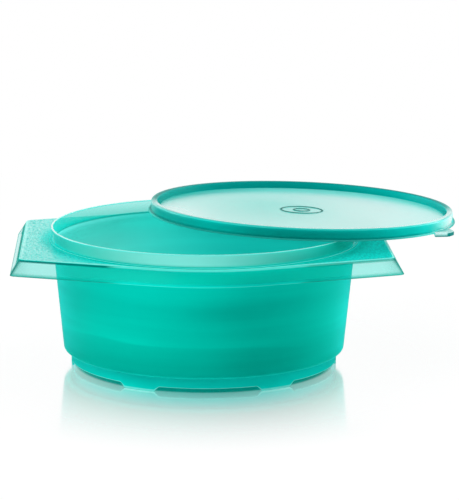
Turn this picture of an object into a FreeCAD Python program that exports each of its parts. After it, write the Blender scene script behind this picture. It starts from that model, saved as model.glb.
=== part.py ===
import FreeCAD, Part
import math
import os

# Round kitchen keeper for flatbreads: a bowl with two wing handles and a loose lid.
# Millimetres, +Z up. The origin is on the bowl's axis, in the plane its feet stand on.
# The wings lie along X, and -Y is the front.

# Bowl
rim_r = 119.8            # outside of the rim
rim_z = 109.5            # top of the rim
wall_draft = 5.59        # degrees, the wall opens upwards
wall_t = 1.8
rim_t = 1.4              # the collar above the inner ledge is thinner
ledge_z = 99.5           # the ledge is where the collar starts inside
floor_t = 2.0
heel_r = 3.2             # outer corner between wall and floor
inner_heel_r = 5.0

# Foot ring, notched from below into separate feet
foot_h = 12.2
foot_t = 1.6
foot_inset = 5.7         # ring's outside, in from the wall's foot
foot_count = 6
foot_span = 14.0         # degrees that each foot keeps
notch_h = 3.7
notch_slope = 45.0       # degrees, the ends of a notch
notch_round = 1.2

# Flange, wings and the apron that hangs from their edge
collar_h = 10.7          # the collar stands this far above the flange
flange_t = 1.4
flange_over = 3.3        # flange's edge, out from the wall
wing_reach = 19.7        # wing's end, out from the flange's round edge
wing_len = 149.0         # straight part of a wing's end
wing_round = 7.0
apron_drop = 12.3
apron_flare = 7.4
apron_t = 1.4
apron_round = 1.0
bead_w = 2.5             # low bead round the foot of the collar
bead_h = 0.9

# Lid
lid_t = 1.2
lid_play = 0.2           # skirt over rim, and crown over rim
channel_play = 0.7       # rim to the inner wall of the lid's channel
skirt_h = 9.4            # crown's top to the skirt's bottom edge
recess = 5.4             # crown's top down to the panel
recess_run = 1.5         # slope of the recess's side, in plan
crown_round = 1.9
lip_w = 2.0              # lip at the foot of the skirt
ring_radii = (16.6, 6.3) # two raised rings at the panel's centre
ring_w = 1.8
ring_h = 0.6

# Pull tab on the lid's lip
tab_w = 28.0             # at its root
tab_end_w = 11.0
tab_reach = 7.8
tab_round = 3.0
tab_h = 3.2              # depth of its turned-down edge
tab_step = 0.5           # below the top of the lip
tab_dir = -30.0          # degrees from +X

# The lid rests across the rim, pushed aside and leaning on it at three points
lid_shift = 94.3
lid_dir = 31.8           # degrees from +X
rest_gap = 0.3

EPS = 0.4                # cutters run this far past what they cut

V = FreeCAD.Vector


def rounded(points, place):
    """A closed wire through (a, b, radius) corners; place turns (a, b) into a point in space."""
    n = len(points)
    cuts = []
    for i in range(n):
        p = V(points[i][0], points[i][1], 0)
        before = (V(points[i - 1][0], points[i - 1][1], 0) - p)
        after = (V(points[(i + 1) % n][0], points[(i + 1) % n][1], 0) - p)
        radius = points[i][2]
        u, w = V(before).normalize(), V(after).normalize()
        half = u.getAngle(w) / 2
        if radius < 1e-6 or abs(half - math.pi / 2) < 1e-6:
            cuts.append((p, None, p))
            continue
        # a corner never takes more than 0.45 of either side
        back = min(radius / math.tan(half), 0.45 * before.Length, 0.45 * after.Length)
        radius = back * math.tan(half)
        axis = (u + w).normalize()
        centre = p + axis * (radius / math.sin(half))
        cuts.append((p + u * back, centre - axis * radius, p + w * back))
    edges = []
    for i in range(n):
        start, mid, end = cuts[i]
        if mid is not None:
            edges.append(Part.Arc(place(start), place(mid), place(end)).toShape())
        nxt = cuts[(i + 1) % n][0]
        if end.distanceToPoint(nxt) > 1e-6:
            edges.append(Part.LineSegment(place(end), place(nxt)).toShape())
    return Part.Wire(edges)


def in_section(p):
    return V(p.x, 0, p.y)


def turned(points):
    """Solid of revolution about Z from (radius, height, corner radius) points."""
    face = Part.Face(rounded(points, in_section))
    return face.revolve(V(0, 0, 0), V(0, 0, 1), 360)


def wall_r(z):
    """Outside radius of the bowl's wall at height z."""
    return rim_r - (rim_z - z) * math.tan(math.radians(wall_draft))


flange_z = rim_z - collar_h
flange_r = wall_r(flange_z) + flange_over
foot_r = wall_r(foot_h) - foot_inset
floor_z = foot_h + floor_t


def outline(z):
    """Edge of flange and wings: the hull of the round flange and four rounded wing corners."""
    cx = flange_r + wing_reach - wing_round
    cy = wing_len / 2
    lean = math.atan2(cy, cx) + math.acos((flange_r - wing_round) / math.hypot(cx, cy))

    def arc(x, y, r, a0, a1):
        def at(a):
            return V(x + r * math.cos(a), y + r * math.sin(a), z)
        return at(a0), at((a0 + a1) / 2), at(a1)

    arcs = [
        arc(cx, cy, wing_round, 0, lean),
        arc(0, 0, flange_r, lean, math.pi - lean),
        arc(-cx, cy, wing_round, math.pi - lean, math.pi),
        arc(-cx, -cy, wing_round, math.pi, math.pi + lean),
        arc(0, 0, flange_r, math.pi + lean, 2 * math.pi - lean),
        arc(cx, -cy, wing_round, 2 * math.pi - lean, 2 * math.pi),
    ]
    edges = []
    for i, (a, m, b) in enumerate(arcs):
        edges.append(Part.Arc(a, m, b).toShape())
        edges.append(Part.LineSegment(b, arcs[(i + 1) % len(arcs)][0]).toShape())
    return Part.Wire(edges)


def make_apron(path):
    """Apron with a lap of flange inside it, one section swept along the flange's edge."""
    slope = apron_flare / apron_drop
    across = apron_t * math.hypot(1, slope)
    lap = wing_round / 2
    tip = 0.48 * apron_t
    section = rounded([
        (-lap, 0, 0),
        (0, 0, apron_round),
        (apron_flare, -apron_drop, tip),
        (apron_flare - across, -apron_drop, tip),
        (flange_t * slope - across, -flange_t, 0),
        (-lap, -flange_t, 0),
    ], lambda p: V(flange_r + wing_reach + p.x, wing_len / 2, flange_z + p.y))
    sweep = Part.BRepOffsetAPI.MakePipeShell(path)
    sweep.setBiNormalMode(V(0, 0, 1))
    sweep.add(section)
    sweep.build()
    sweep.makeSolid()
    return sweep.shape()


def make_notches():
    """Cutters that open the foot ring between the feet, one radial prism for each notch."""
    pitch = 360.0 / foot_count
    half = foot_r * math.sin(math.radians((pitch - foot_span) / 2))
    run = notch_h / math.tan(math.radians(notch_slope))
    below = EPS / math.tan(math.radians(notch_slope))
    profile = rounded([
        (-half - below, -EPS, 0),
        (half + below, -EPS, 0),
        (half - run, notch_h, notch_round),
        (-half + run, notch_h, notch_round),
    ], lambda p: V(p.x, -foot_r - EPS, p.y))
    deep = foot_r + EPS - (foot_r - foot_t) * math.cos(math.radians(pitch / 2)) + EPS
    cutter = Part.Face(profile).extrude(V(0, deep, 0))
    cutters = []
    for i in range(foot_count):
        one = cutter.copy()
        one.rotate(V(0, 0, 0), V(0, 0, 1), i * pitch)
        cutters.append(one)
    return cutters


def make_bowl():
    body = turned([
        (0, foot_h, 0),
        (foot_r - foot_t, foot_h, 0),
        (foot_r - foot_t, 0, 0),
        (foot_r, 0, 0),
        (foot_r, foot_h, 0),
        (wall_r(foot_h), foot_h, heel_r),
        (rim_r, rim_z, 0.47 * rim_t),
        (rim_r - rim_t, rim_z, 0.47 * rim_t),
        (wall_r(ledge_z) - rim_t, ledge_z, 0),
        (wall_r(ledge_z) - wall_t, ledge_z, 0),
        (wall_r(floor_z) - wall_t, floor_z, inner_heel_r),
        (0, floor_z, 0),
    ])
    inside = wall_r(flange_z) - rim_t / 2
    bead = turned([
        (inside, flange_z - flange_t / 2, 0),
        (wall_r(flange_z) + bead_w, flange_z - flange_t / 2, 0),
        (wall_r(flange_z) + bead_w, flange_z + 0.4 * bead_h, 0),
        (wall_r(flange_z) + bead_w - 0.6 * bead_h, flange_z + bead_h, 0),
        (inside, flange_z + bead_h, 0),
    ])
    apron = make_apron(outline(flange_z))
    plate_edge = outline(flange_z).makeOffset2D(-wing_round / 4, 0, False, False, False)
    plate = Part.Face(plate_edge).extrude(V(0, 0, -flange_t))
    hole = Part.makeCylinder(inside, flange_t + 2 * EPS, V(0, 0, flange_z - flange_t - EPS))
    flange = plate.cut(hole)
    bowl = body.fuse([flange, apron, bead]).removeSplitter()
    return bowl.cut(make_notches())


def tab_plan(inset, z):
    """Outline of the tab in plan, drawn in by inset along its free edges."""
    root = rim_r + lid_play + lid_t / 2
    edge = rim_r + lid_play + lid_t + lip_w
    tip = edge + tab_reach - inset
    half = tab_w / 2 - inset
    end = tab_end_w / 2 - inset / 2
    corner = max(tab_round - inset, 0.3)
    return rounded([
        (root - inset, -half, 0),
        (edge - lip_w / 2, -half, 2 * lip_w),
        (tip, -end, corner),
        (tip, end, corner),
        (edge - lip_w / 2, half, 2 * lip_w),
        (root - inset, half, 0),
    ], lambda p: V(p.x, p.y, z))


def make_tab():
    """Pull tab in the lid's own frame: a small tray upside down, open towards the skirt."""
    top = -skirt_h + lid_t - tab_step
    block = Part.Face(tab_plan(0, top - tab_h)).extrude(V(0, 0, tab_h))
    block = block.makeFillet(0.4 * lid_t, [e for e in block.Edges if e.BoundBox.ZMin > top - EPS
                                           and e.BoundBox.XMax > rim_r + lid_t + lip_w])
    hollow = Part.Face(tab_plan(lid_t, top - tab_h - EPS)).extrude(V(0, 0, tab_h + EPS - lid_t))
    return block.cut(hollow)


def make_lid():
    """Lid in its own frame: axis on Z, crown's top at zero."""
    skirt_in = rim_r + lid_play
    skirt_out = skirt_in + lid_t
    channel_in = rim_r - rim_t - channel_play
    crown_in = channel_in - lid_t
    under = -recess - lid_t
    rings = []
    for r in sorted(ring_radii, reverse=True):
        rings += [
            (r + ring_w / 2, -recess, 0),
            (r + ring_w / 5, -recess + ring_h, ring_h / 2),
            (r - ring_w / 5, -recess + ring_h, ring_h / 2),
            (r - ring_w / 2, -recess, 0),
        ]
    shell = turned([
        (0, under, 0),
        (channel_in - recess_run, under, lid_t / 2),
        (channel_in, -lid_t, 0),
        (skirt_in, -lid_t, 0),
        (skirt_in, -skirt_h, 0),
        (skirt_out + lip_w, -skirt_h, 0.45 * lid_t),
        (skirt_out + lip_w, -skirt_h + lid_t, 0.45 * lid_t),
        (skirt_out, -skirt_h + lid_t, 0.6),
        (skirt_out, 0, crown_round),
        (crown_in, 0, crown_round),
        (crown_in - recess_run, -recess, 1.0),
    ] + rings + [(0, -recess, 0)])
    tab = make_tab()
    tab.rotate(V(0, 0, 0), V(0, 0, 1), tab_dir)
    return shell.fuse(tab).removeSplitter()


def rest_lid(lid):
    """Put the lid down where its skirt meets the rim twice and its panel lies on the rim once."""
    skirt_in = rim_r + lid_play
    cross = (lid_shift ** 2 + rim_r ** 2 - skirt_in ** 2) / (2 * lid_shift)
    drop = skirt_h - recess - lid_t
    lean = math.atan2(drop, rim_r - cross)
    height = rim_z + rest_gap + skirt_h * math.cos(lean) + (cross - lid_shift) * math.tan(lean)
    away = V(math.cos(math.radians(lid_dir)), math.sin(math.radians(lid_dir)), 0)
    hinge = V(-away.y, away.x, 0)
    lid.rotate(V(0, 0, 0), hinge, math.degrees(lean))
    lid.translate(away * lid_shift + V(0, 0, height))
    return lid


os.makedirs("parts", exist_ok=True)
for name, shape in (("bowl", make_bowl()), ("lid", rest_lid(make_lid()))):
    if shape.ShapeType == "Compound" and len(shape.Solids) == 1:
        shape = shape.Solids[0]
    box = shape.BoundBox
    print(name, shape.ShapeType, shape.isValid(), len(shape.Solids), round(shape.Volume / 1000, 2), "cm3",
          [round(v, 2) for v in (box.XMin, box.XMax, box.YMin, box.YMax, box.ZMin, box.ZMax)])
    shape.exportStep("parts/" + name + ".step")
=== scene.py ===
import math

import bpy
import numpy as np
from mathutils import Matrix, Vector


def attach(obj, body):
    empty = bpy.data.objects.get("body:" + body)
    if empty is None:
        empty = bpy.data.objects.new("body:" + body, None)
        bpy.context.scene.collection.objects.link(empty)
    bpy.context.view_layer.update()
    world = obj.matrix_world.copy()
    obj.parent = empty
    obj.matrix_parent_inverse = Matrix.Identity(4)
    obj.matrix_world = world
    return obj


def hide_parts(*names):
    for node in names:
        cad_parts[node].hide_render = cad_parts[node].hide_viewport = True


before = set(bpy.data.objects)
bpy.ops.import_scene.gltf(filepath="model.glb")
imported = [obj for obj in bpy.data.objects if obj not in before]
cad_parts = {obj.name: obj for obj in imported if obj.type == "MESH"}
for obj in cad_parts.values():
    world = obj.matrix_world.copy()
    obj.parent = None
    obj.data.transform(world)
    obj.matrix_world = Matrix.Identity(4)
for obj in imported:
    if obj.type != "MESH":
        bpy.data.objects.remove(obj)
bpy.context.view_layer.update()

print("frame loaded, nodes:", ", ".join(sorted(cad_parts)))


# Path through (a, b, radius, ...) corners in which each corner gives way to its tangent arc. Along an arc the
# point is centre + radius * (sin((1-t)w) * u + sin(t w) * v) / sin(w), from touching point to touching point.
# Each row comes back as (a, b, the corner's other values); the last of them is scaled by sin(pi t) along an
# arc. Stretches longer than `longest` are cut into even parts.
def roundedPath(corners, turnStep=18.0, longest=math.inf):
    mostOfSide = 0.46  # an arc takes less than half of the shorter side
    corners = np.array(corners, float)
    rows = [np.r_[corners[0, :2], corners[0, 3:]][None]]
    for before, here, after in zip(corners, corners[1:], corners[2:]):
        if here[2] <= 0:
            rows.append(np.r_[here[:2], here[3:]][None])
            continue
        u, v = before[:2] - here[:2], after[:2] - here[:2]
        reach = mostOfSide * min(np.hypot(*u), np.hypot(*v))
        u, v = u / np.hypot(*u), v / np.hypot(*v)
        half = math.acos(np.clip(u @ v, -1, 1)) / 2
        back = min(here[2] / math.tan(half), reach)
        radius, turn = back * math.tan(half), math.pi - 2 * half
        centre = here[:2] + (u + v) / np.hypot(*(u + v)) * radius / math.sin(half)
        first = (here[:2] + u * back - centre) / radius
        last = (here[:2] + v * back - centre) / radius
        t = np.linspace(0, 1, max(3, math.ceil(math.degrees(turn) / turnStep) + 1))[:, None]
        arc = centre + radius * (np.sin((1 - t) * turn) * first + np.sin(t * turn) * last) / math.sin(turn)
        values = np.tile(here[3:], (len(arc), 1))
        values[:, -1:] *= np.sin(t * math.pi)
        rows.append(np.c_[arc, values])
    rows.append(np.r_[corners[-1, :2], corners[-1, 3:]][None])
    rows = np.concatenate(rows)
    gaps = np.hypot(*np.diff(rows[:, :2], axis=0).T)
    parts = np.maximum(1, np.ceil(gaps / longest)).astype(int)
    place = np.concatenate([i + np.arange(n) / n for i, n in enumerate(parts)] + [[len(gaps)]])
    return np.stack([np.interp(place, np.arange(len(rows)), column) for column in rows.T], 1)


# Closed skin over a grid of points in millimetres, rows along the section and columns round the axis, whose
# first and last rows are single points on the axis. A vertex's normal is the sum of its faces' area vectors,
# so that a flat stays flat up to the roundings beside it.
def gridPiece(name, points, attributes):
    millimetre, tiny = 0.001, 1e-20
    rows, columns = points.shape[:2]
    verts = np.concatenate([points[0, :1], points[1:-1].reshape(-1, 3), points[-1, :1]]) * millimetre
    ring = 1 + np.arange((rows - 2) * columns).reshape(rows - 2, columns)
    nextRing = np.roll(ring, -1, 1)
    quads = np.stack([ring[:-1], nextRing[:-1], nextRing[1:], ring[1:]], -1).reshape(-1, 4)
    fanLow = np.stack([np.zeros(columns, int), nextRing[0], ring[0]], -1)
    fanHigh = np.stack([np.full(columns, len(verts) - 1), ring[-1], nextRing[-1]], -1)
    fans = np.concatenate([fanLow, fanHigh])

    mesh = bpy.data.meshes.new(name)
    mesh.vertices.add(len(verts))
    mesh.vertices.foreach_set("co", verts.astype(np.float32).ravel())
    mesh.loops.add(quads.size + fans.size)
    mesh.loops.foreach_set("vertex_index", np.r_[quads.ravel(), fans.ravel()].astype(np.int32))
    mesh.polygons.add(len(quads) + len(fans))
    starts = np.r_[np.arange(len(quads)) * 4, quads.size + np.arange(len(fans)) * 3]
    mesh.polygons.foreach_set("loop_start", starts.astype(np.int32))
    mesh.update(calc_edges=True)
    mesh.validate()

    areas = np.zeros_like(verts)
    for face in (quads, fans):
        corner = verts[face]
        area = np.cross(corner[:, 2] - corner[:, 0], corner[:, 3 % face.shape[1]] - corner[:, 1])
        for k in range(face.shape[1]):
            np.add.at(areas, face[:, k], area)
    normals = areas / np.maximum(np.linalg.norm(areas, axis=1, keepdims=True), tiny)
    mesh.polygons.foreach_set("use_smooth", np.ones(len(mesh.polygons), bool))
    mesh.normals_split_custom_set_from_vertices(normals)

    for key, values in attributes.items():
        flat = np.r_[values[0, :1], values[1:-1].ravel(), values[-1, :1]]
        mesh.attributes.new(key, "FLOAT", "POINT").data.foreach_set("value", flat.astype(np.float32))
    piece = bpy.data.objects.new(name, mesh)
    bpy.context.scene.collection.objects.link(piece)
    print(f"{name}: {len(verts)} points, {2 * len(quads) + len(fans)} triangles")
    return piece


def smoothMin(a, b, k):  # the lesser of a and b, with a blend k wide where they meet
    h = np.clip(0.5 + 0.5 * (b - a) / k, 0, 1)
    return b + (a - b) * h - k * h * (1 - h)


def smoothStep(low, high, x):
    t = np.clip((x - low) / (high - low), 0, 1)
    return t * t * (3 - 2 * t)


# Sum of strength * exp(-((azimuth - centre) / width)^2) over the places, in degrees.
def bells(azimuth, places):
    total = 0
    for centre, width, strength in places:
        off = (np.degrees(azimuth) - centre + 180) % 360 - 180
        total = total + strength * np.exp(-(off / width) ** 2)
    return total


def columnAngles(degrees):  # azimuths in order and in radians, without near doubles
    closest = 0.03
    degrees = np.sort(degrees % 360)
    return np.radians(degrees[np.r_[True, np.diff(degrees) > closest]])


# Millimetres and degrees. Places are (centre, width, strength) over the azimuth. In the second block they
# say where light and shade are painted on the bowl as brightness added to its colour, brighter above 0 and
# darker below, and in the third where the collar is painted deeper and less clear in the lid's shade, where
# it is clearer, and where the collar and the wall's inside are painted paler, painted light.
bowl = {
    "rimRadius": 119.8, "rimHeight": 109.5, "draft": 5.59, "wall": 1.8, "rimWall": 1.4, "ledgeHeight": 99.5,
    "floor": 2.0, "heelRound": 3.2, "innerHeelRound": 5.0,
    "footHeight": 12.2, "footWall": 1.6, "footInset": 5.7, "feet": 6, "footSpan": 14.0,
    "notchHeight": 3.7, "notchBlend": 0.72,
    "collarHeight": 10.7, "flange": 1.4, "flangeOver": 3.3, "wingReach": 19.7, "wingLength": 149.0,
    "wingRound": 7.0, "apronDrop": 12.3, "apronFlare": 7.4, "apronWall": 1.4, "apronRound": 0.7,
    "apronCorner": 4.0, "beadWidth": 2.3, "beadHeight": 0.9,
    "columnStep": 1.25, "longestRow": 12.0, "rowSpread": 55.4, "foldLine": 0.868,

    "slowWaves": [(3, 115, 0.12), (4, 117, 0.07)],  # waves round the axis, shift, strength
    "levelWave": (45, 40, 0.8, 0.05),  # height, length, sway, strength
    "bottomDarker": -0.07, "wallPlaces": [(324, 17, 0.20), (287, 12, -0.10)],
    "waveHeight": 37.0, "waveFade": 13.0,
    "waveShifts": [(224, 12, 1.8), (200, 10, -1.5), (318, 20, -6.0)],  # strength in millimetres of height
    "wavePlaces": [(236, 26, 0.36), (285, 24, 0.18)],
    "bandHeight": 62.0, "bandWidth": 8.0, "bandPlaces": [(274, 14, -0.14)],
    "lowHeight": 42.0, "lowPlaces": [(284, 20, 0.09)], "lowFadePlaces": [(212, 16, 0.10)],
    "footPaintedLight": 0.10, "footPlaces": [(322, 24, 0.15), (230, 22, 0.26), (288, 15, -0.12)],
    "collarPlaces": [(260, 26, -0.12), (197, 14, -0.30)], "collarFootPlaces": [(300, 18, -0.28)],
    "flangePlaces": [(205, 22, -0.18)],

    "collarLidShade": [(320, 20, 1.0)], "collarClear": [(112, 36, 0.5)], "collarPaintedLight": [(260, 24, 0.75)],
    "insidePaintedLight": [(158, 34, 0.10)],
}


def wallRadius(z):  # outside of the drafted wall
    return bowl["rimRadius"] - (bowl["rimHeight"] - z) * math.tan(math.radians(bowl["draft"]))


flangeHeight = bowl["rimHeight"] - bowl["collarHeight"]
flangeUnder = flangeHeight - bowl["flange"]
flangeRadius = wallRadius(flangeHeight) + bowl["flangeOver"]
footRadius = wallRadius(bowl["footHeight"]) - bowl["footInset"]
beadFoot = wallRadius(flangeHeight) + bowl["beadWidth"]

# Seen from the axis within one quarter, the flange's edge is the wing's end line up to cornerStart, the
# corner's circle up to cornerEnd, the straight shoulder up to shoulderTurn, and the round flange from there.
# The shoulder touches both circles, so that shoulderTurn is also the direction of its normal.
cornerX, cornerY = flangeRadius + bowl["wingReach"] - bowl["wingRound"], bowl["wingLength"] / 2
shoulderTurn = math.atan2(cornerY, cornerX) \
    + math.acos((flangeRadius - bowl["wingRound"]) / math.hypot(cornerX, cornerY))
cornerStart = math.atan2(cornerY, cornerX + bowl["wingRound"])
cornerEnd = math.atan2(cornerY + bowl["wingRound"] * math.sin(shoulderTurn),
                       cornerX + bowl["wingRound"] * math.cos(shoulderTurn))


def foldAngle(azimuth):  # the azimuth folded into one quarter
    return np.arctan2(abs(np.sin(azimuth)), abs(np.cos(azimuth)))


# Radius of the flange's edge by azimuth, and its outward normal. End line and shoulder are at distance /
# cos(azimuth - normal), the corner at along + sqrt(round^2 - across^2).
def flangeEdge(azimuth):
    fold = foldAngle(azimuth)
    along = cornerX * np.cos(fold) + cornerY * np.sin(fold)
    across = cornerX * np.sin(fold) - cornerY * np.cos(fold)
    corner = along + np.sqrt(np.maximum(bowl["wingRound"] ** 2 - across ** 2, 0))
    cornerAngle = np.arctan2(corner * np.sin(fold) - cornerY, corner * np.cos(fold) - cornerX)
    endLine = (cornerX + bowl["wingRound"]) / np.cos(fold)
    shoulder = flangeRadius / np.cos(fold - shoulderTurn)
    zone = [fold <= cornerStart, fold <= cornerEnd, fold <= shoulderTurn]
    radius = np.select(zone, [endLine, corner, shoulder], flangeRadius)
    angle = np.select(zone, [0 * fold, cornerAngle, shoulderTurn + 0 * fold], fold)
    return radius, np.cos(angle) * np.sign(np.cos(azimuth)), np.sin(angle) * np.sign(np.sin(azimuth))


def bowlColumns():  # even azimuths, with more at the wings' corners and at the slanted ends of the notches
    start, end, turn = np.degrees([cornerStart, cornerEnd, shoulderTurn])
    beside, slant, pitch = 0.4, 3.9, 360 / bowl["feet"]
    corner = np.r_[np.linspace(start, end, 19), turn, start - beside, end + beside]
    wings = np.r_[corner, 180 - corner, 180 + corner, 360 - corner]
    half = (pitch - bowl["footSpan"]) / 2
    ends = np.r_[np.linspace(half - slant, half, 13), half + 0.38, half + 0.8]
    centres = -90 + pitch * np.arange(bowl["feet"])
    notches = (centres[:, None] + np.r_[ends, -ends]).ravel()
    return columnAngles(np.r_[np.arange(0, 360, bowl["columnStep"]), wings, notches])


# The bowl's section from the middle of the underside to the middle of the floor. A row is radius, height,
# corner radius and 1 where it follows the flange's edge; then share of clear film, tone from deep 0 over wall
# 0.5 to pale 1, polish, and strength of a painted highlight, a pale line painted along the corner.
def bowlSection():
    foot, floorTop = bowl["footHeight"], bowl["footHeight"] + bowl["floor"]
    footIn = footRadius - bowl["footWall"]
    wave = [(wallRadius(h), h, 0, 0, 0, 0.5, 0, 0) for h in np.r_[30:42:1.25, 46:75:6]]
    slope = bowl["apronFlare"] / bowl["apronDrop"]
    across = bowl["apronWall"] * math.hypot(1, slope)
    edge, low = flangeRadius + bowl["apronFlare"], flangeHeight - bowl["apronDrop"]
    tip, rimTip = 0.48 * bowl["apronWall"], 0.47 * bowl["rimWall"]
    beadTop = flangeHeight + bowl["beadHeight"]
    rim, rimTop = bowl["rimRadius"], bowl["rimHeight"]
    rimIn, ledge = rim - bowl["rimWall"], bowl["ledgeHeight"]

    def apron(drop):  # radius and height on the apron's outside
        return flangeRadius + slope * drop, flangeHeight - drop

    return roundedPath([
        # the underside inside the foot ring is deep, a painted shade under the bowl
        (0, foot, 0, 0, 0, 0.1, 0, 0),
        (footIn, foot, 0.8, 0, 0, 0.1, 0, 0),
        (footIn, 0, 0.4, 0, 0, 0.9, 0, 0),
        (footRadius, 0, 0.4, 0, 0, 0.8, 0, 0.3),
        (footRadius, 0.5, 0, 0, 0, 1, 0, 0.9),
        (footRadius, 1.0, 0, 0, 0, 1, 0, 0.5),
        (footRadius, 1.6, 0, 0, 0, 1, 0, 0),
        (footRadius, foot - 1.2, 0, 0, 0, 0.95, 0, 0),
        # the corner under the heel is deep and the heel's rounding darker, a painted shadow between body and
        # foot
        (footRadius, foot, 0.4, 0, 0, 0, 0, 0),
        (wallRadius(foot), foot, bowl["heelRound"], 0, 0, 0.35, 0, 0),
        (wallRadius(foot + 9), foot + 9, 0, 0, 0, 0.5, 0, 0),
        *wave,
        (wallRadius(flangeUnder - 2), flangeUnder - 2, 0, 0, 0, 0.5, 0, 0),
        (wallRadius(flangeUnder), flangeUnder, 0.6, 0, 0, 0.45, 0, 0),
        (flangeRadius + slope * bowl["flange"] - across, flangeUnder, 0.5, 1, 0.1, 0.6, 0, 0),
        (flangeRadius + slope * 3 - across, flangeHeight - 3, 0, 1, 1, 0.8, 0, 0),
        (edge - across, low, tip, 1, 0.9, 0.8, 0, 0),
        (edge, low, tip, 1, 0.2, 1, 0, 0.08),
        (*apron(9.4), 0, 1, 1, 0.8, 0.3, 0),
        (*apron(5.5), 0, 1, 1, 0.8, 0.3, 0),
        (*apron(4.2), 0, 1, 1, 0.8, 0.3, 0),
        (*apron(2.4), 0, 1, 1, 0.8, 0.2, 0),
        (*apron(1.7), 0, 1, 0.5, 0.8, 0, 0),
        (*apron(1.0), 0, 1, 0, 0.9, 0, 0.5),
        (flangeRadius, flangeHeight, bowl["apronRound"], 1, 0, 0.9, 0.4, 1.2),
        (flangeRadius - 0.85, flangeHeight, 0, 1, 0, 0.95, 0.5, 0.9),
        (beadFoot + 0.85, flangeHeight, 0, 0, 0, 0.8, 0.7, 0),
        (beadFoot + 0.466, flangeHeight, 0, 0, 0, 0.78, 0.66, 0),
        (beadFoot + 0.245, flangeHeight, 0, 0, 0, 0.55, 0.15, 0),
        (beadFoot + 0.1, flangeHeight, 0.1, 0, 0, 0.5, 0.1, 0),
        (beadFoot - 0.15, beadTop, 0.4, 0, 0, 0.9, 0, 0.6),
        (wallRadius(beadTop), beadTop, 0.3, 0, 0.2, 0.6, 0, 0),
        (wallRadius(flangeHeight + 3), flangeHeight + 3, 0, 0, 0.35, 0.5, 0.5, 0),
        (rim - 0.1, rimTop - 1.1, 0, 0, 0.45, 0.6, 0.2, 0),
        (rim, rimTop, rimTip, 0, 0.1, 1, 1.7, 1),
        (rimIn, rimTop, rimTip, 0, 0.1, 1, 1.7, 0.9),
        (rimIn - 0.1, rimTop - 1.1, 0, 0, 0.5, 0.7, 0.1, 0),
        (wallRadius(ledge + 1) - bowl["rimWall"], ledge + 1, 0, 0, 0.35, 0.55, 0.1, 0),
        (wallRadius(ledge) - bowl["rimWall"], ledge, 0.2, 0, 0, 0.15, 0.1, 0),
        (wallRadius(ledge) - bowl["wall"], ledge, 0.15, 0, 0, 0.25, 0.1, 0),
        (wallRadius(ledge - 1) - bowl["wall"], ledge - 1, 0, 0, 0, 0.8, 0.1, 0),
        (wallRadius(floorTop) - bowl["wall"], floorTop, bowl["innerHeelRound"], 0, 0, 0.55, 0.1, 0),
        (0, floorTop, 0, 0, 0, 0.45, 0.1, 0),
    ], longest=bowl["longestRow"])


# Notches lift the lowest rows: height = least of (half length - |distance from the middle|) and notch height.
def notchLift(azimuth, r, z):
    fadeHeight = 6.0
    pitch = math.radians(360 / bowl["feet"])
    half = footRadius * math.sin(math.radians((360 / bowl["feet"] - bowl["footSpan"]) / 2))
    turn = (azimuth + math.pi / 2 + pitch / 2) % pitch - pitch / 2
    height = smoothMin(half - abs(r * np.sin(turn)), bowl["notchHeight"], bowl["notchBlend"])
    return np.maximum(height, 0) * np.clip(1 - z / fadeHeight, 0, 1)


# Painted light and shade on the bowl, as brightness added to its colour: brighter towards the left and at the
# right edge, where light falls and comes through, darker just right of the front in the lid's shade, and in
# level bands. In the wall: slow waves, strength * cos(count * (azimuth + shift)), a level one over the
# height, a wave with a crisp lower edge that fades upwards by exp(-height / fade), broad places, and darker
# towards the bottom. Then the places in foot ring, collar and flange; the foot is painted brighter.
def bowlPaintedLight(azimuth, r, z, collar):
    middle, length, sway, strength = bowl["levelWave"]
    level = strength * np.cos(2 * math.pi * (z - middle) / length + sway * np.sin(2 * azimuth))
    slow = sum(strength * np.cos(count * (azimuth + math.radians(shift)))
               for count, shift, strength in bowl["slowWaves"])
    above = z - bowl["waveHeight"] - bells(azimuth, bowl["waveShifts"])
    wave = smoothStep(-1.2, 0.8, above) * np.exp(-np.maximum(above, 0) / bowl["waveFade"])
    band = np.exp(-((z - bowl["bandHeight"]) / bowl["bandWidth"]) ** 2)
    wall = slow + level + bowl["bottomDarker"] * (1 - smoothStep(14, 50, z)) \
        + bells(azimuth, bowl["wallPlaces"]) + bells(azimuth, bowl["wavePlaces"]) * wave \
        + bells(azimuth, bowl["bandPlaces"]) * band \
        + bells(azimuth, bowl["lowPlaces"]) * (z < bowl["lowHeight"]) \
        + bells(azimuth, bowl["lowFadePlaces"]) * (1 - smoothStep(45, 70, z))
    inWall = smoothStep(10, 16, z) * (1 - smoothStep(flangeUnder - 6, flangeUnder, z))
    onFoot = (z < 11) * (r > footRadius - 0.1)
    byBead = (abs(z - flangeHeight) < 0.05) * (r < beadFoot + 4)
    collarFoot = collar * (1 - smoothStep(flangeHeight + 4, flangeHeight + 8, z))
    return wall * inWall + (bowl["footPaintedLight"] + bells(azimuth, bowl["footPlaces"])) * onFoot \
        + bells(azimuth, bowl["collarPlaces"]) * collar + bells(azimuth, bowl["flangePlaces"]) * byBead \
        + bells(azimuth, bowl["collarFootPlaces"]) * collarFoot
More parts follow.
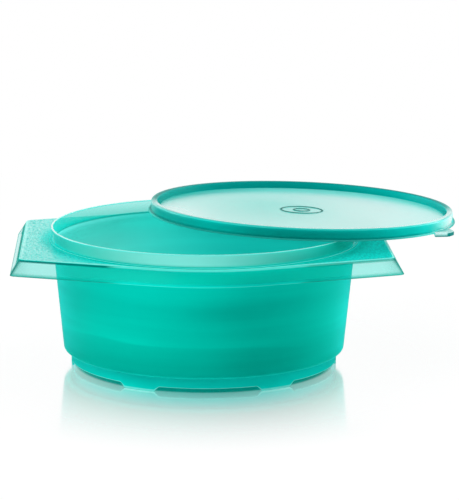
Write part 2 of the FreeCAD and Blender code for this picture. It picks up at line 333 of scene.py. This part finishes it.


# Film, tone, polish and painted highlight of the section, changed where the plastic is thick or clear, and
# where light and shade are painted.
def bowlDress(azimuth, r, z, wing, left, values):
    follow, see, tone, shine, paintedHighlight = values
    cos, onApron = np.cos(azimuth), follow > 0.5
    fold, start, end = np.degrees(foldAngle(azimuth)), math.degrees(cornerStart), math.degrees(cornerEnd)
    # thick under the wings' fold, along the apron's corners, down their ends and at the wings' lower edge
    drop = flangeHeight - z
    onEnd, belowFold = fold < start, smoothStep(0.6, 0.95, drop)
    thick = onApron * np.max([
        np.exp(-((fold - (0.72 * start + 0.28 * end)) / 1.6) ** 2) * (drop > 0.7),
        belowFold * (1 - smoothStep(1.6, 2.2, drop)) * wing ** 4 * (0.4 + 0.6 * left),
        belowFold * (1 - smoothStep(4.0, 5.6, drop)) * onEnd,
        0.8 * smoothStep(11.4, 11.9, drop) * wing,
    ], axis=0)
    endFace = onEnd * smoothStep(4.5, 6.0, drop) * onApron
    wingTop = wing * (abs(drop) < 0.05) * ((r > beadFoot + 2) | onApron)
    # the collar is painted paler in front, a painted highlight, painted deeper and less clear beside the
    # lid's edge, a painted shade of the lid, and clear at the back; the wall's inside is painted paler at the
    # back left, painted light
    collar = smoothStep(flangeHeight + 1, flangeHeight + 3, z) * (z < bowl["rimHeight"] - 0.9)
    outer = collar * (r > wallRadius(z) - 0.3)
    deep = outer * bells(azimuth, bowl["collarLidShade"])
    inside = (z > 50) * (z < flangeHeight) * (r < wallRadius(z) - 1) * (follow < 0.5)
    see = see * (1 - 0.8 * deep) + (collar - outer) * bells(azimuth, bowl["collarClear"])
    # the wings' tops are painted darker and less glossy towards the right, a painted shade of the lid over it
    tone = tone - 0.2 * deep - 0.40 * wingTop * smoothStep(-0.2, 0.6, cos)
    paintedHighlight = paintedHighlight + outer * bells(azimuth, bowl["collarPaintedLight"]) + inside * bells(azimuth, bowl["insidePaintedLight"])
    shine = shine * (1 - 0.47 * wingTop * (1 + cos))
    return {
        "see": see * (1 - 0.95 * thick) * (1 + 1.2 * endFace), "tone": tone * (1 - thick),
        "shine": shine * (1 - thick), "paintedHighlight": paintedHighlight * (1 - thick), "grain": wingTop,
        "paintedLightAndThickness": bowlPaintedLight(azimuth, r, z, outer) - 0.5 * thick,
    }


# The bowl is one section carried round the axis. Up to the wall and from the bead inwards it turns on
# circles; the part that makes flange and apron stays at a fixed distance from the flange's edge, along that
# edge's normal: point = edge + out * normal.
def makeBowl():
    azimuth = bowlColumns()
    cos, sin, fold = np.cos(azimuth), np.sin(azimuth), np.degrees(foldAngle(azimuth))
    edge, nx, ny = flangeEdge(azimuth)
    r, z, follow, *look = (column[:, None] for column in bowlSection().T)
    wing = smoothStep(flangeRadius + 1, flangeRadius + 6, edge)
    left = smoothStep(0.3, -0.3, cos)
    # on the wings the painted highlight along the fold is wider, most of all at the left, where the light
    # falls
    inFoldHighlight = (r < flangeRadius - 0.2) & (follow > 0.5) & (z > flangeHeight - 0.001)
    out = (r - flangeRadius) * (1 + (0.5 + 1.5 * left) * wing * abs(ny) * inFoldHighlight)
    # the flange's own rows spread out from the bead, by the square of their distance, and end in order before
    # that line
    flat = (abs(z - flangeHeight) < 0.001) & (follow < 0.5) & (r > beadFoot + 0.2)
    reach = bowl["rowSpread"] * (r - beadFoot) ** 2
    order = 0.0006 * (40 - reach)
    last = edge - bowl["foldLine"] - order - (0.6 + 1.4 * left) * wing
    r = np.where(flat, np.minimum(beadFoot + reach, last), r)
    # the apron's corners get tighter downwards: their arcs shrink towards the meeting point of both sides
    nearly = 1e-6
    inCorner = (fold >= math.degrees(cornerStart) - nearly) & (fold <= math.degrees(cornerEnd) + nearly)
    shrink = (bowl["wingRound"] - bowl["apronCorner"]) * np.clip(out / bowl["apronFlare"], 0, 1)
    swap = inCorner * (np.maximum(out, 0) + shrink)
    followX = edge * cos + out * nx + swap * (np.sign(cos) - nx)
    followY = edge * sin + out * ny + swap * (math.tan(shoulderTurn / 2) * np.sign(sin) - ny)
    x = (1 - follow) * r * cos + follow * followX
    y = (1 - follow) * r * sin + follow * followY
    z = z + notchLift(azimuth, r, z)
    attributes = bowlDress(azimuth, r, z, wing, left, (follow, *look))
    return gridPiece("bowlMoulding", np.stack([x, y, z], -1), attributes)


bowlPiece = makeBowl()


# Millimetres and degrees. Places as on the bowl: the second block is painted light and shade on skirt and
# recess, the third painted highlights that make lip and panel paler, and gloss.
lid = {
    "wall": 1.2, "play": 0.2, "channelPlay": 0.7, "skirtHeight": 9.4, "recess": 5.4, "recessRun": 1.5,
    "crownRound": 1.9, "lip": 2.0, "rings": (16.6, 6.3), "ringWidth": 1.8, "ringHeight": 0.6,
    "tabWidth": 28.0, "tabEnd": 11.0, "tabReach": 7.8, "tabDepth": 3.2, "tabStep": 0.5, "tabAzimuth": -30.0,
    "tabBlend": 2.4, "tabRootBlend": 1.6, "shift": 94.3, "direction": 31.8, "restGap": 0.3,
    "columnStep": 1.0, "tabColumns": 105, "ringRows": 11,

    "skirtDarker": -0.05,
    "skirtPlaces": [(335, 34, 0.8), (195, 34, 0.45), (232, 13, 0.45), (307, 15, 0.5), (266, 14, -0.12)],
    "recessPlaces": [(30, 35, 0.85), (150, 28, 0.6)],

    "lipPaintedHighlight": [(322, 20, 0.6), (192, 14, 0.5)], "panelFar": [(60, 60, 1.0)], "panelLeft": [(195, 20, 0.3)],
    "skirtGlint": [(188, 6, 0.5)], "rightGlint": 1.7, "spotMiddle": (55.0, 70.0), "spotSize": (52.0, 90.0),
}

skirtIn = bowl["rimRadius"] + lid["play"]
skirtOut, lipOut = skirtIn + lid["wall"], skirtIn + lid["wall"] + lid["lip"]
channelIn = bowl["rimRadius"] - bowl["rimWall"] - lid["channelPlay"]
crownIn = channelIn - lid["wall"]
panelTop, panelEdge = -lid["recess"], crownIn - lid["recessRun"]
lidFoot = -lid["skirtHeight"]
lipTop = lidFoot + lid["wall"]
tabTop = lipTop - lid["tabStep"]


# Radius of the lip's edge with the tab on it: on each ray the least of the tab's end line, at end / cos, and
# its slanted side, and where that falls inside the lip's circle, the circle, with small blends between them.
# Gives the radius and 1 where the tab is.
def lipEdge(azimuth):
    farthest, tabTurn, inTabTurn = 0.3, 0.12, 0.13  # radians from the tab's middle
    turn = abs((azimuth - math.radians(lid["tabAzimuth"]) + math.pi) % (2 * math.pi) - math.pi)
    halfRoot, halfEnd = lid["tabWidth"] / 2, lid["tabEnd"] / 2
    end, root = lipOut + lid["tabReach"], lipOut - lid["lip"] / 2
    lean = (end - root) / (halfRoot - halfEnd)
    near = np.minimum(turn, farthest)
    side = (end + lean * halfEnd) / (np.cos(near) + lean * np.sin(near))
    tab = smoothMin(end / np.cos(near), side, lid["tabBlend"])
    radius = -smoothMin(-tab, -lipOut, lid["tabRootBlend"])
    inTab = 1 - smoothStep(halfRoot - 0.6, halfRoot + 0.5, lipOut * np.sin(near))  # ends at the tab's root
    return np.where(turn < tabTurn, radius, lipOut), np.where(turn < inTabTurn, inTab, 0)


def restPose(points):  # leans the lid by the drop from panel to skirt edge, then carries it out over the rim
    cross = (lid["shift"] ** 2 + bowl["rimRadius"] ** 2 - skirtIn ** 2) / (2 * lid["shift"])
    lean = math.atan2(lid["skirtHeight"] - lid["recess"] - lid["wall"], bowl["rimRadius"] - cross)
    height = bowl["rimHeight"] + lid["restGap"] + lid["skirtHeight"] * math.cos(lean) \
        + (cross - lid["shift"]) * math.tan(lean)
    way = math.radians(lid["direction"])
    away = Vector((math.cos(way), math.sin(way), 0))
    turn = np.array(Matrix.Rotation(lean, 3, Vector((-away.y, away.x, 0))))
    return points @ turn.T + np.array([away.x * lid["shift"], away.y * lid["shift"], height])


# The lid's section in four stretches: inside from the axis to the skirt's edge, the lip, the tab that takes
# the lip's place, and outside back to the axis. A row is radius, height and corner radius; then, on the first
# and the last, clear film, tone, polish and painted highlight of the corner as on the bowl.
def lidSection():
    under, channelTop = panelTop - lid["wall"], -lid["wall"]
    tabUnder, tabLow, tabWallIn = tabTop - lid["wall"], tabTop - lid["tabDepth"], lipOut - lid["wall"]
    # the inside is deep, a painted shade under the lid
    inside = roundedPath([
        (0, under, 0, 0, 0.15, 0, 0),
        (channelIn - lid["recessRun"], under, 0.6, 0, 0.15, 0, 0),
        (channelIn, channelTop, 0.4, 0, 0.2, 0, 0),
        (skirtIn, channelTop, 0.4, 0, 0.2, 0, 0),
        (skirtIn, lidFoot, 0.3, 0, 0.3, 0, 0),
        (skirtIn + 0.7, lidFoot, 0, 0, 0.3, 0, 0),
    ], longest=14.0)
    lip = roundedPath([
        (skirtIn + 0.8, lidFoot, 0), (lipOut, lidFoot, 0.54),
        (lipOut, lipTop, 0.54), (skirtOut + 0.75, lipTop, 0),
    ], turnStep=15)
    tab = roundedPath([
        (skirtIn + 0.8, lidFoot - 0.1, 0), (lipOut - 2, tabUnder, 0.3), (tabWallIn, tabUnder, 0.3),
        (tabWallIn + 0.1, tabLow, 0.35), (lipOut, tabLow, 0.45), (lipOut, tabTop, 0.5),
        (lipOut - 1.7, tabTop, 0.2), (skirtOut + 0.75, lipTop, 0),
    ], turnStep=22)
    outside = roundedPath([
        (skirtOut + 0.7, lipTop, 0, 0, 0.35, 0, 0),
        (skirtOut, lipTop, 0.6, 0, 0.1, 0, 0),
        (skirtOut, lipTop + 2.0, 0, 0, 0.3, 0, 0),
        (skirtOut, -4.2, 0, 0, 0.27, 0, 0),
        (skirtOut, 0, lid["crownRound"], 0, 0.25, 0.2, 0),
        (crownIn, 0, lid["crownRound"], 0, 0.12, 0.1, 0),
        (panelEdge + 0.6, panelTop + 2.2, 0, 0, 0.15, 0, 0),
        (panelEdge, panelTop, 1.0, 0, 0.15, 0, 0),
        (panelEdge - 1.1, panelTop, 0, 0, 0.2, 0.1, 0),
        (panelEdge - 1.6, panelTop, 0, 0.12, 0.95, 1.5, 0),
        (0.5, panelTop, 0, 0.12, 0.95, 1, 0),
    ], turnStep=14, longest=9.0)
    # even steps along the lip's own path, as many as the tab's path has
    run = np.r_[0, np.cumsum(np.hypot(*np.diff(lip, axis=0).T))]
    even = np.linspace(0, run[-1], len(tab))
    lip = np.stack([np.interp(even, run, column) for column in lip.T], 1)
    # extra rows for the rings, then one point on the axis
    onPanel = outside[:, 0] < panelEdge - 1.8
    besideRing = np.linspace(-1.3, 1.3, lid["ringRows"])
    ringRows = np.concatenate([ring + besideRing for ring in lid["rings"]])
    panelRadii = np.r_[np.sort(np.r_[outside[onPanel, 0], ringRows])[::-1], 0]
    panelRows = np.tile(outside[-1], (len(panelRadii), 1))
    panelRows[:, 0] = panelRadii
    return inside, lip, tab, np.concatenate([outside[~onPanel], panelRows])


# The lid is one section turned round its axis: panel, channel, skirt, lip, crown, recess and two raised
# rings. At the tab the lip's rows follow the tab's edge along its normal, point = edge + out * normal, and
# pass from the lip's section to the tab's.
def makeLid():
    tabColumns = lid["tabAzimuth"] + np.linspace(-7.4, 7.4, lid["tabColumns"])
    azimuth = columnAngles(np.r_[np.arange(0, 360, lid["columnStep"]), tabColumns])
    cos, sin, bearing = np.cos(azimuth), np.sin(azimuth), np.degrees(azimuth)
    inside, lip, tab, outside = lidSection()
    edge, inTab = lipEdge(azimuth)
    ex, ey = edge * cos, edge * sin
    tx, ty = (np.roll(v, -1) - np.roll(v, 1) for v in (ex, ey))
    nx, ny = ty / np.hypot(tx, ty), -tx / np.hypot(tx, ty)
    rowR, rowZ = (lip[:, k:k + 1] * (1 - inTab) + tab[:, k:k + 1] * inTab for k in (0, 1))
    share = smoothStep(skirtIn + 0.8, skirtIn + 1.5, rowR)  # 0 where the row stays on its circle
    out = rowR - lipOut
    lipX = (1 - share) * rowR * cos + share * (ex + out * nx)
    lipY = (1 - share) * rowR * sin + share * (ey + out * ny)
    turned = [np.stack([rows[:, :1] * cos, rows[:, :1] * sin, rows[:, 1:2] + 0 * cos], -1)
              for rows in (inside, outside)]
    points = np.concatenate([turned[0], np.stack([lipX, lipY, rowZ], -1), turned[1]])
    depth = -points[..., 2]
    # rings: height = ring height * cos^2 of the distance from the ring's circle
    r = np.hypot(points[..., 0], points[..., 1])
    lipRows = slice(len(inside), len(inside) + len(tab))
    rowNumber = np.arange(len(points))[:, None]
    top = rowNumber >= lipRows.stop
    raised = 0 * r
    for ring in lid["rings"]:
        off = np.clip(abs(r - ring) / (0.72 * lid["ringWidth"]), 0, 1)
        raised += top * np.cos(off * math.pi / 2) ** 2
    points[..., 2] += lid["ringHeight"] * raised
    placed = restPose(points)

    lipValues = np.tile([0, 0.3, 0, 0], (len(tab), 1))
    values = np.concatenate([inside[:, 2:], lipValues, outside[:, 2:]])
    see, tone, shine, paintedHighlight = (column[:, None] + 0 * r for column in values.T)
    # the lip is painted lighter at both ends, a painted highlight; the tab is clear, with a deep lower edge
    # and a deep end
    pale = bells(azimuth, lid["lipPaintedHighlight"])
    paintedHighlight[lipRows] = (0.12 + 0.5 * pale) * np.clip(rowZ - lidFoot, 0, 1) * (rowR > lipOut - 1.2) * (1 - inTab)
    hang = tabTop - rowZ
    endFace = 1 - smoothStep(2.5, 3.1, abs(bearing - 360 - lid["tabAzimuth"]))
    lowEdge = smoothStep(lid["tabDepth"] - 1.7, lid["tabDepth"] - 1.2, hang)
    deep = inTab * (rowR > lipOut - 1.0) * np.maximum(lowEdge, endFace * (hang > 0.3))
    tone[lipRows] = (tone[lipRows] + pale * (1 - inTab) + 0.5 * inTab) * (1 - deep)
    see[lipRows] += 1.1 * inTab * (1 - deep)
    shine[lipRows] += 0.5 * inTab * (1 - deep)
    # the panel is least glossy round a spot left of its middle, less glossy at its far edge and glossier at
    # its left edge; it is painted paler at its far and left edge and brighter at the far edge, painted light,
    # and the rings' flanks are painted deep and darker, a painted shade beside the rings
    panel = top & (r < panelEdge - 1.4)
    outerPart = panel * smoothStep(70, 105, r)
    farPart = outerPart * bells(azimuth, lid["panelFar"])
    leftPart = outerPart * bells(azimuth, lid["panelLeft"])
    fromSpot = (placed[..., :2] - lid["spotMiddle"]) / lid["spotSize"]
    spot = np.exp(-(fromSpot ** 2).sum(-1))
    shine = np.where(panel, 1.17 - 0.5 * spot, shine) - 0.4 * farPart + leftPart
    paintedHighlight = paintedHighlight + 0.15 * panel + 0.7 * farPart + leftPart
    flank = smoothStep(0.03, 0.28, raised)
    # painted light and shade round skirt and recess, as brightness; the skirt's right end is glossy and
    # painted paler towards the right, painted light, and the crown in front is glossy and painted paler, a
    # painted highlight
    skirt = (rowNumber > lipRows.stop) & (r > skirtOut - 0.6) & (depth > 0.9)
    recess = top & (r > panelEdge - 1.2) & (r < crownIn + 0.01)
    paintedLightAndThickness = skirt * (bells(azimuth, lid["skirtPlaces"]) + lid["skirtDarker"]) - 0.45 * flank + 0.2 * farPart \
        + recess * bells(azimuth, lid["recessPlaces"])
    side = skirt & (depth > 1.3)
    rightEnd = smoothStep(318, 334, bearing) * (1 - smoothStep(340, 352, bearing))
    shine = shine + side * (lid["rightGlint"] * rightEnd + bells(azimuth, lid["skirtGlint"]))
    tone = tone + side * 0.5 * smoothStep(308, 335, bearing)
    crown = top & (r > crownIn - 0.5) & (r < skirtOut + 0.01) & (depth < 1.3)
    front = crown * smoothStep(-0.1, 0.25, -sin)
    tone = tone + front * (0.7 - tone)
    shine = shine + front * 1.1
    attributes = {"see": see * (1 - flank), "tone": tone * (1 - flank), "shine": shine * (1 - flank),
                  "paintedHighlight": paintedHighlight, "grain": 0 * see, "paintedLightAndThickness": paintedLightAndThickness}
    return gridPiece("lidMoulding", placed, attributes)


lidPiece = makeLid()


# Wraps a shader socket, so that sums on values are written as sums and each adds its Math node.
class Wire:
    def __init__(self, tree, socket):
        self.tree, self.socket = tree, socket

    def maths(self, kind, a, b):
        return self.tree.node("ShaderNodeMath", {"operation": kind}, {0: a, 1: b})

    def __add__(self, other): return self.maths("ADD", self, other)
    def __radd__(self, other): return self.maths("ADD", other, self)
    def __sub__(self, other): return self.maths("SUBTRACT", self, other)
    def __rsub__(self, other): return self.maths("SUBTRACT", other, self)
    def __mul__(self, other): return self.maths("MULTIPLY", self, other)
    def __rmul__(self, other): return self.maths("MULTIPLY", other, self)
    def __truediv__(self, other): return self.maths("DIVIDE", self, other)
    def __rtruediv__(self, other): return self.maths("DIVIDE", other, self)
    def __pow__(self, other): return self.maths("POWER", self, other)
    def __rpow__(self, other): return self.maths("POWER", other, self)
    def least(self, other): return self.maths("MINIMUM", self, other)
    def most(self, other): return self.maths("MAXIMUM", self, other)

    def ramp(self, low, high):  # smooth step from 0 to 1 between two values
        return self.tree.node("ShaderNodeMapRange", {"interpolation_type": "SMOOTHSTEP"},
                              {0: self, 1: low, 2: high, 3: 0.0, 4: 1.0})


class Tree:
    def __init__(self, name, world=None):
        holder = world or bpy.data.materials.new(name)
        holder.use_nodes = True
        self.holder, self.nodes, self.links = holder, holder.node_tree.nodes, holder.node_tree.links
        self.nodes.clear()

    # Any node: its type, its settings, its inputs by name or number, and the output wanted.
    def node(self, kind, settings=None, inputs=None, out=0):
        made = self.nodes.new(kind)
        for key, value in (settings or {}).items():
            setattr(made, key, value)
        for key, value in (inputs or {}).items():
            target = made.inputs[key]
            if isinstance(value, Wire):
                self.links.new(value.socket, target)
            else:
                target.default_value = value
        return Wire(self, made.outputs[out])

    def mixColour(self, factor, a, b):
        return self.node("ShaderNodeMix", {"data_type": "RGBA"}, {0: factor, 6: a, 7: b}, 2)

    def mixShader(self, factor, a, b):
        return self.node("ShaderNodeMixShader", None, {0: factor, 1: a, 2: b})

    def attribute(self, name):
        return self.node("ShaderNodeAttribute", {"attribute_name": name}, None, "Fac")

    def facing(self):  # 0 where the surface faces the eye, 1 where it is seen edge-on
        return self.node("ShaderNodeLayerWeight", None, {"Blend": 0.5}, "Facing")

    def distance(self, where, centre=(0, 0, 0), stretch=(1, 1, 1)):  # length of (where - centre) * stretch
        off = self.node("ShaderNodeVectorMath", {"operation": "SUBTRACT"}, {0: where, 1: centre})
        off = self.node("ShaderNodeVectorMath", {"operation": "MULTIPLY"}, {0: off, 1: stretch})
        return self.node("ShaderNodeVectorMath", {"operation": "LENGTH"}, {0: off}, "Value")

    def seenRays(self):  # 1 for what the eye sees, also in a mirror or through film; 0 for light on things
        camera = self.node("ShaderNodeLightPath", None, None, "Is Camera Ray")
        outputs = camera.socket.node.outputs
        mirrored, through = (Wire(self, outputs[f"Is {kind} Ray"]) for kind in ("Glossy", "Transmission"))
        return camera.most(mirrored).most(through)

    def noise(self, where, scale, detail, roughness, stretch):
        placed = self.node("ShaderNodeMapping", None, {0: where, 3: stretch})
        return self.node("ShaderNodeTexNoise", None,
                         {"Vector": placed, "Scale": scale, "Detail": detail, "Roughness": roughness}, "Fac")

    def finish(self, surface):
        isWorld = isinstance(self.holder, bpy.types.World)
        end = self.nodes.new("ShaderNodeOutputWorld" if isWorld else "ShaderNodeOutputMaterial")
        self.links.new(surface.socket, end.inputs["Surface"])
        return self.holder


plainWhite = (1, 1, 1, 1)

# the line colours below are the pale colours of the painted highlights
plasticLook = {
    "both": {
        "ior": 1.46, "glint": (0.02, 1.0, 0.92, 1), "mottle": 0.05, "grain": 1.3, "grainShine": 3.0,
        "scuff": 0.14, "smear": 0.06, "bumpStrength": 0.25, "bumpDepth": 0.0003,
        "mirrorHead": 0.005, "mirrorPower": 4.2,
        # noises: scale, detail, roughness, stretch
        "cloudNoise": (7.0, 3.5, 0.55, (0.55, 0.55, 9.0)),    # thin level bands in the moulded wall
        "mottleNoise": (60.0, 3.0, 0.55, (1.0, 1.0, 1.0)),    # finger-wide variation
        "fineNoise": (640.0, 2.0, 0.6, (1.0, 0.35, 1.0)),     # skin texture
        "scuffNoise": (260.0, 4.0, 0.7, (1.0, 0.35, 1.0)),    # small rubs
    },
    "bowl": {
        "deep": (0.000, 0.170, 0.155, 1), "wall": (0.000, 0.428, 0.322, 1), "pale": (0.0003, 0.700, 0.610, 1),
        "paintedHighlight": (0.260, 1.000, 0.910, 1), "film": (0.54, 0.98, 0.94, 1), "specular": 0.02, "clearest": 0.70,
        "roughness": 0.45, "soak": 0.56, "rimGlow": 0.85, "cloud": 0.50, "polish": 0.22,
    },
    "lid": {
        "deep": (0.000, 0.160, 0.145, 1), "wall": (0.000, 0.400, 0.350, 1), "pale": (0.008, 0.740, 0.650, 1),
        "paintedHighlight": (0.200, 0.900, 0.820, 1), "film": (0.70, 0.97, 0.95, 1), "specular": 0.06, "clearest": 0.75,
        "roughness": 0.34, "soak": 0.45, "rimGlow": 0.10, "cloud": 0.10, "polish": 0.20,
    },
}


# Tinted plastic that lets light through: a satin solid colour, light that soaks through, clear tinted film in
# the thin walls, and a polish on top that grows where the surface is met at a slant. The colour carries
# painted
# light: painted highlights, painted light and shade as brightness, and a painted sheen at the outline. A
# wall's
# two skins count once: light that comes out of the solid passes its skin freely.
def plastic(name, look):
    t = Tree(name)
    where = t.node("ShaderNodeTexCoord", None, None, "Object")
    keys = ("see", "tone", "shine", "paintedHighlight", "grain", "paintedLightAndThickness")
    see, tone, shine, paintedHighlight, grain, paintedLightAndThickness = (t.attribute(key) for key in keys)

    noises = (t.noise(where, *look[key + "Noise"]) for key in ("cloud", "mottle", "fine", "scuff"))
    cloud, mottle, fine, scuff = (noise - 0.5 for noise in noises)
    facing = t.facing()
    edgeOn = facing ** 3.0
    skinGrain = fine * grain

    # brightness: the painted light and shade and the thick joints from the mesh, with random clouds, mottle
    # and grain
    band = 1.0 + paintedLightAndThickness + cloud * look["cloud"] + mottle * look["mottle"] + skinGrain * look["grain"]
    # painted sheen: solid plastic is painted paler where it is seen edge-on; thin clear walls turn deep there
    tone = tone + edgeOn * ((1 - see) * look["rimGlow"] - see * tone)
    deepToWall = t.mixColour(tone.ramp(0.0, 0.5), look["deep"], look["wall"])
    colour = t.mixColour(paintedHighlight, t.mixColour(tone.ramp(0.5, 1.0), deepToWall, look["pale"]), look["paintedHighlight"])
    shade = t.node("ShaderNodeHueSaturation", None, {"Value": band, "Color": colour})
    soak = t.node("ShaderNodeGamma", None, {"Color": shade, "Gamma": 0.5})
    rough = look["roughness"] + scuff * look["scuff"] + mottle * look["smear"]
    height = (fine + 0.5) * (0.05 + grain * 0.95)
    relief = t.node("ShaderNodeBump", None, {
        "Strength": look["bumpStrength"], "Distance": look["bumpDepth"], "Height": height})

    solid = t.node("ShaderNodeBsdfPrincipled", None, {
        "Base Color": shade, "Roughness": rough, "IOR": look["ior"], "Specular IOR Level": look["specular"],
        "Specular Tint": look["glint"], "Normal": relief})
    glow = t.node("ShaderNodeBsdfTranslucent", None, {"Color": soak, "Normal": relief})
    film = t.node("ShaderNodeBsdfTransparent", None, {"Color": look["film"]})
    polish = t.node("ShaderNodeBsdfGlossy", None, {
        "Color": plainWhite, "Roughness": look["polish"], "Normal": relief})
    free = t.node("ShaderNodeBsdfTransparent", None, {"Color": plainWhite})
    mirror = look["mirrorHead"] + (1 - look["mirrorHead"]) * facing ** look["mirrorPower"]
    body = t.mixShader(look["soak"], solid, glow)
    wall = t.mixShader(see * (1 - 0.5 * edgeOn) * look["clearest"], body, film)
    skin = t.mixShader(mirror * (shine * (1.0 + skinGrain * look["grainShine"])), wall, polish)
    back = t.node("ShaderNodeNewGeometry", None, None, "Backfacing")
    return t.finish(t.mixShader(back, skin, free))


for piece, node in ((bowlPiece, "bowl"), (lidPiece, "lid")):
    piece.data.materials.append(plastic(node + "Plastic", {**plasticLook["both"], **plasticLook[node]}))
    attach(piece, node)
    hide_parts(node)
print("plastic on bowl and lid")


# Metres and watts. The floor is seen as plain white; in front of the bowl that white is painted teal, a
# painted light for light through the bowl, and under the bowl the floor is painted dark teal, a painted
# shadow. A run is the pair of distances, mostly from the axis, between which one look passes into the other.
stage = {
    "floorHalf": 6.0, "floorHeight": -0.0001, "matt": (0.9, 0.9, 0.9, 1),
    "whiten": 0.93, "whitenRun": (0.35, 0.9), "coveredRun": (0.0995, 0.1035),
    "mirror": 0.80, "mirrorRough": 0.12, "mirrorRun": (0.100, 0.270), "mirrorStretch": (1.2, 1, 1),
    "mirrorFade": 1.5, "mirrorSlant": 1.45, "paintedShadowUnderBowl": (0.0, 0.10, 0.095, 1), "underRun": (0.094, 0.108),
    "tint": (0.5, 1, 1, 1), "tintMiddle": (0, -0.06, 0), "tintStretch": (0.95, 1, 1),
    "tintRun": (0.035, 0.112),
    "sky": 0.55, "skySeen": 1.0, "lampsAim": (0.02, 0, 0.06),
    "lamps": [  # name, place, size, power
        ("keyLamp", (-1.3, -1.0, 1.3), 1.3, 19.0),
        ("fillLamp", (1.6, -0.8, 0.8), 1.2, 8.0),
        ("topLamp", (0.1, 0.5, 1.8), 1.4, 7.0),
        ("backLamp", (0.9, 1.2, 1.3), 1.2, 10.0),
        ("leftLamp", (-1.9, 0.7, 0.35), 1.0, 13.0),
        ("rightLamp", (2.0, 0.6, 0.35), 1.0, 11.0),
    ],
}


# Pale floor: matt white that takes the shadow, painted dark teal under the bowl, a painted shadow, lifted to
# the background's white outside the foot ring and painted teal in front of the bowl, a painted light, with a
# polish that shows the object near its foot and fades out with the distance from the axis.
def makeFloor():
    half, low = stage["floorHalf"], stage["floorHeight"]
    mesh = bpy.data.meshes.new("floor")
    mesh.from_pydata([(-half, -half, low), (half, -half, low), (half, half, low), (-half, half, low)],
                     [], [(0, 1, 2, 3)])
    floor = bpy.data.objects.new("floor", mesh)
    bpy.context.scene.collection.objects.link(floor)
    t = Tree("floorWhite")
    where = t.node("ShaderNodeTexCoord", None, None, "Object")
    seen, away = t.seenRays(), t.distance(where)
    first, last = stage["mirrorRun"]
    gone = (t.distance(where, stretch=stage["mirrorStretch"]) - first) / (last - first)
    fade = (1 - gone).least(1.0).most(0.0) ** stage["mirrorFade"]
    polish = fade * stage["mirror"] * ((t.facing() * stage["mirrorSlant"]).least(1.0))
    # the matt floor under the bowl is painted dark teal, a painted shadow
    matt = t.node("ShaderNodeBsdfDiffuse", None, {
        "Color": t.mixColour(away.ramp(*stage["underRun"]), stage["paintedShadowUnderBowl"], stage["matt"])})
    # the white seen in front of the bowl is painted teal, a painted light for light through the bowl
    ahead = t.distance(where, stage["tintMiddle"], stage["tintStretch"])
    white = t.node("ShaderNodeEmission", None, {
        "Color": t.mixColour(ahead.ramp(*stage["tintRun"]), stage["tint"], plainWhite), "Strength": 1.0})
    gloss = t.node("ShaderNodeBsdfGlossy", None, {"Color": plainWhite, "Roughness": stage["mirrorRough"]})
    lifted = stage["whiten"] + (1 - stage["whiten"]) * away.ramp(*stage["whitenRun"])
    base = t.mixShader(seen * (away.ramp(*stage["coveredRun"]) * lifted), matt, white)
    floor.data.materials.append(t.finish(t.mixShader(seen * polish, base, gloss)))


def makeWorld():
    world = bpy.data.worlds.new("studio")
    bpy.context.scene.world = world
    t = Tree("studio", world)
    strength = stage["sky"] + t.seenRays() * (stage["skySeen"] - stage["sky"])
    t.finish(t.node("ShaderNodeBackground", None, {"Color": plainWhite, "Strength": strength}))


def makeLamps():
    for name, place, size, power in stage["lamps"]:
        light = bpy.data.lights.new(name, "AREA")
        light.shape, light.size, light.energy = "SQUARE", size, power
        lamp = bpy.data.objects.new(name, light)
        lamp.location = place
        lamp.visible_camera = False
        lamp.rotation_euler = (Vector(stage["lampsAim"]) - Vector(place)).to_track_quat("-Z", "Y").to_euler()
        bpy.context.scene.collection.objects.link(lamp)


# Metres, radians, pixels of the picture, and millimetres of the sensor.
view = {
    "at": (-0.0645099, -1.9541355, 0.48094), "target": (0.0198962, -0.0006568, 0.089456), "roll": 0.005,
    "focalPixels": 2537.5, "frameHeight": 500, "sensor": 36.0, "nearest": 0.05, "farthest": 50.0,
}


def makeCamera():
    at = Vector(view["at"])
    forward = (Vector(view["target"]) - at).normalized()
    right = forward.cross(Vector((0, 0, 1))).normalized()
    up = right.cross(forward)
    cosRoll, sinRoll = math.cos(view["roll"]), math.sin(view["roll"])
    right, up = right * cosRoll + up * sinRoll, up * cosRoll - right * sinRoll
    data = bpy.data.cameras.new("camera")
    data.sensor_width = view["sensor"]
    data.lens = view["focalPixels"] * view["sensor"] / view["frameHeight"]
    data.clip_start, data.clip_end = view["nearest"], view["farthest"]
    camera = bpy.data.objects.new("camera", data)
    camera.matrix_world = Matrix((
        (right.x, up.x, -forward.x, at.x), (right.y, up.y, -forward.y, at.y),
        (right.z, up.z, -forward.z, at.z), (0, 0, 0, 1)))
    bpy.context.scene.collection.objects.link(camera)
    bpy.context.scene.camera = camera


makeFloor()
makeWorld()
makeLamps()
makeCamera()
bpy.context.scene.view_settings.view_transform = "Standard"
print("floor, lamps and camera ready")
